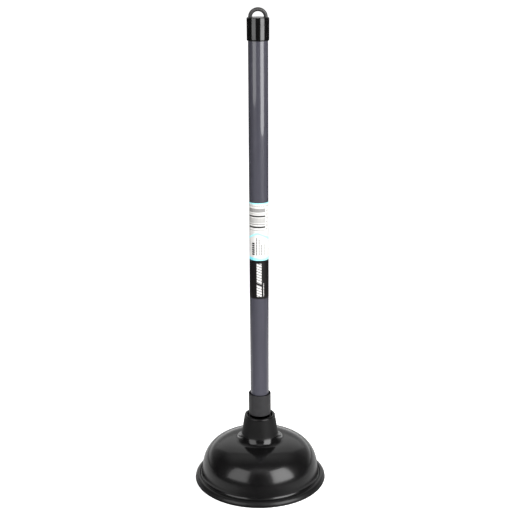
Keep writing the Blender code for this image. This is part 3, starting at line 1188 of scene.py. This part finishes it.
@dataclass
class Studio:
    """Floor, backdrop, lamps and the camera of the photograph.

    The Ramps shape what gloss sees: in the world by direction (y back, z up),
    on the floor by place.
    """

    focal_pixels: float = 1082.0
    photo_pixels: float = 515.0
    pitch: float = 16.89
    roll: float = -0.30
    eye: tuple[float, float, float] = (-0.0018, -1.1957, 0.6436)
    fill: float = 0.30
    gloom: float = 0.03
    backdrop_height: Ramp = (0.02, 0.25, 1.80, 0.46)
    backdrop_top: Ramp = (0.35, 0.95, 1.0, 0.0)
    backdrop_sides: Ramp = (0.2, 0.95, 0.0, 1.0)
    ceiling_height: Ramp = (0.62, 0.88, 0.0, 1.0)
    ceiling_depth: Ramp = (-0.15, 0.50, 0.10, 0.55)
    panel_front: Ramp = (-0.80, -0.55, 0.0, 1.0)
    panel_back: Ramp = (-0.50, -0.25, 1.0, 0.0)
    panel_sides: Ramp = (0.10, 0.35, 0.65, 0.0)
    panel_foot: tuple[float, float] = (0.3, 0.2)
    floor_white: Ramp = (0.5, 3.0, 0.76, 0.86)
    floor_back: Ramp = (-0.03, 0.10, 0.0, 0.76)
    floor_back_reach: Ramp = (0.30, 0.75, 1.0, 0.0)
    ring_inside: Ramp = (0.083, 0.095, 0.0, 1.0)
    ring_outside: Ramp = (0.17, 0.26, 1.0, 0.0)
    ring_sides: Ramp = (0.2, 0.8, 0.10, 0.70)
    floor_reach: float = 14.0
    floor_level: float = -0.0001
    softboxes: tuple[Softbox, ...] = (
        Softbox("softbox_right", 46.0, 1.6, 0.13, 1.94, 1.20, 7.0),
        Softbox("softbox_left", -45.0, 1.6, 0.21, 1.85, 1.20, 3.0),
        Softbox("softbox_back", 180.0, 2.2, 0.90, 1.8, 3.2, 0.5),
        Softbox("bounce_card", 0.0, 0.36, 0.01, 0.05, 0.30, 17.0, in_gloss=False),
    )

    def camera(self) -> None:
        """Set the camera where the photograph's stood; the lens is 36 mm * focal / width."""
        data = bpy.data.cameras.new("photo_camera")
        data.sensor_width = 36.0
        data.lens = data.sensor_width * self.focal_pixels / self.photo_pixels
        data.clip_start, data.clip_end = 0.05, 100.0
        eye = linked("photo_camera", data)
        tilt = Matrix.Rotation(math.radians(90.0 - self.pitch), 4, "X")
        roll = Matrix.Rotation(math.radians(self.roll), 4, "Z")
        eye.matrix_world = Matrix.Translation(self.eye) @ tilt @ roll
        bpy.context.scene.camera = eye

    def world(self) -> None:
        """White to the camera and an even fill; gloss sees a studio.

        The studio is a backdrop, brightest low down behind the object, a glow
        overhead and a panel over the camera, with gloom elsewhere.
        """
        world = bpy.data.worlds.new("studio")
        net = Net(world)
        x, y, z = net.parts(net.node("TexCoord").outputs["Generated"])
        backdrop = net.spread(z, self.backdrop_height) * net.spread(z, self.backdrop_top)
        backdrop = backdrop * net.spread(y, self.backdrop_sides)
        ceiling = net.spread(z, self.ceiling_height) * net.spread(y, self.ceiling_depth)
        panel = net.spread(y, self.panel_front) * net.spread(y, self.panel_back)
        panel = panel * net.spread(abs(x), self.panel_sides) * net.step(z, *self.panel_foot)
        camera, gloss = net.rays()
        seen = self.gloom + (backdrop + ceiling + panel) * (1.0 - self.gloom)
        strength = self.fill + camera * (1.0 - self.fill) + gloss * (seen - self.fill)
        inputs = {"Color": (1, 1, 1, 1), "Strength": strength}
        net.show(net.node("Background", inputs), "OutputWorld")
        bpy.context.scene.world = world

    def floor(self) -> None:
        """A pale floor, white to the camera, that keeps the object's shadow.

        Gloss sees it lit behind the object and in a ring beside it, and dark
        elsewhere.
        """
        made = bpy.data.materials.new("pale_floor")
        net = Net(made)
        camera, gloss = net.rays()
        x, y, _ = net.parts(net.place())
        out = net.radius(x, y)
        ring = net.spread(out, self.ring_inside) * net.spread(out, self.ring_outside)
        ring = ring * net.spread(abs(x) / out, self.ring_sides)
        behind = net.spread(y, self.floor_back) * net.spread(out, self.floor_back_reach)
        glow = camera * net.spread(y, self.floor_white) + gloss * net.most(behind, ring)
        shown = net.node("Emission", {"Color": (1, 1, 1, 1), "Strength": glow})
        pale = net.mix(gloss, (0.88, 0.88, 0.88), (0.03, 0.03, 0.03))
        paint = net.node("BsdfDiffuse", {"Color": pale})
        net.show(net.node("AddShader", {0: shown.outputs[0], 1: paint.outputs[0]}))
        mesh = bpy.data.meshes.new("studio_floor")
        reach, level = self.floor_reach, self.floor_level
        signs = (-1, -1), (1, -1), (1, 1), (-1, 1)
        mesh.from_pydata([(x * reach, y * reach, level) for x, y in signs], [], [(0, 1, 2, 3)])
        mesh.materials.append(made)
        floor = linked("studio_floor", mesh)

    def build(self) -> None:
        """Set up everything round the object."""
        self.camera()
        self.world()
        self.floor()
        for softbox in self.softboxes:
            softbox.build()
        bpy.context.scene.view_settings.view_transform = "Standard"
        LOG.info("studio: %d lamps", len(self.softboxes))


def main() -> None:
    """Build the pieces in order, and the studio."""
    logging.basicConfig(level=logging.INFO, format="%(name)s: %(message)s")
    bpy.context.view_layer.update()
    thread = CoarseThread()
    rubber = MouldedRubber("moulded_rubber", "black_rubber", (0.0024, 0.0023, 0.0024))
    collar = SatinPlastic("satin_collar", "dark_matte_plastic", (0.0195, 0.0190, 0.0203))
    skin = SleeveSkin("sleeve_skin", "grey_plastic_skin", (0.0490, 0.0482, 0.0612))
    gloss = GlossMoulding("gloss_black", "glossy_black_plastic", (0.0035, 0.0033, 0.0034))
    steel = RolledSteel("rolled_steel_tube", "rolled_steel", (0.56, 0.57, 0.58))
    paper = (0.60, 0.592, 0.575)
    film = PrintedFilm("printed_label", "printed_film", paper, bottom=0.2336, radius=0.01115)
    RubberCup(rubber, thread).build()
    ThreadedAdapter(collar, thread).build()
    TubeSleeve(skin).build()
    LabelWrap(film).build()
    HangerCap(gloss).build()
    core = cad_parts["steel_tube"]
    core.data.materials.clear()
    core.data.materials.append(steel.material())
    Studio().build()


if __name__ == "__main__":
    main()
